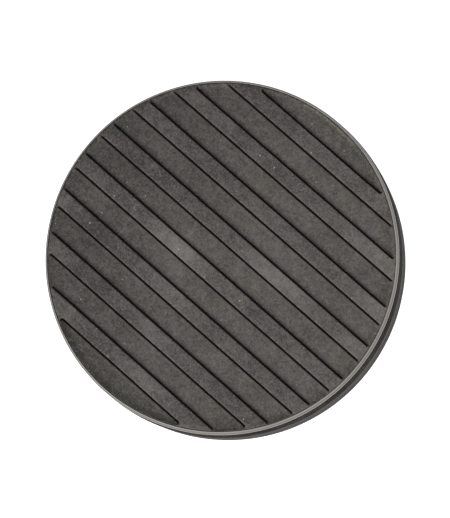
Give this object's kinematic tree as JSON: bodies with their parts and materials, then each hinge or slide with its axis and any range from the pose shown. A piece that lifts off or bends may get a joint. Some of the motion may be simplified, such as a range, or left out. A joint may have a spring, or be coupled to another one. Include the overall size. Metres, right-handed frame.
{
  "type": "snowboard stomp pad",
  "caption": "Round riser stomp pad: ribbed rubber tread in a pale plastic lip on a tall foam body with a hollow neck, with foam tape and a split liner below.",
  "frame": {"origin": "centre of the release liner's underside, on the surface that the pad lies on", "axes": "+Z out of the ribbed face, +X along the ribs, +Y across the ribs"},
  "size_m": [0.1232, 0.1232, 0.028],
  "materials": {
    "tread_rubber": "matte, smooth rib tops, rougher channel floors, dusty",
    "bond_film": "clear tacky film",
    "carrier_plastic": "satin moulded plastic",
    "riser_foam": "matte moulded foam with a closed skin",
    "tape_foam": "matte cut foam edge",
    "liner_film": "smooth release-coated film"
  },
  "bodies": {
    "pad": {"tread": "tread_rubber", "tread_bond_film": "bond_film", "carrier_plate": "carrier_plastic", "riser_bond_film": "bond_film", "riser_body": "riser_foam", "adhesive_disc": "tape_foam"},
    "left_half": {"liner_left": "liner_film"},
    "right_half": {"liner_right": "liner_film"}
  },
  "joints": [
    {"name": "peel_left", "type": "slide", "parent": "pad", "child": "left_half", "axis": [-1, 0, 0], "range_m": [0, 0.065]},
    {"name": "peel_right", "type": "slide", "parent": "pad", "child": "right_half", "axis": [1, 0, 0], "range_m": [0, 0.065]}
  ]
}
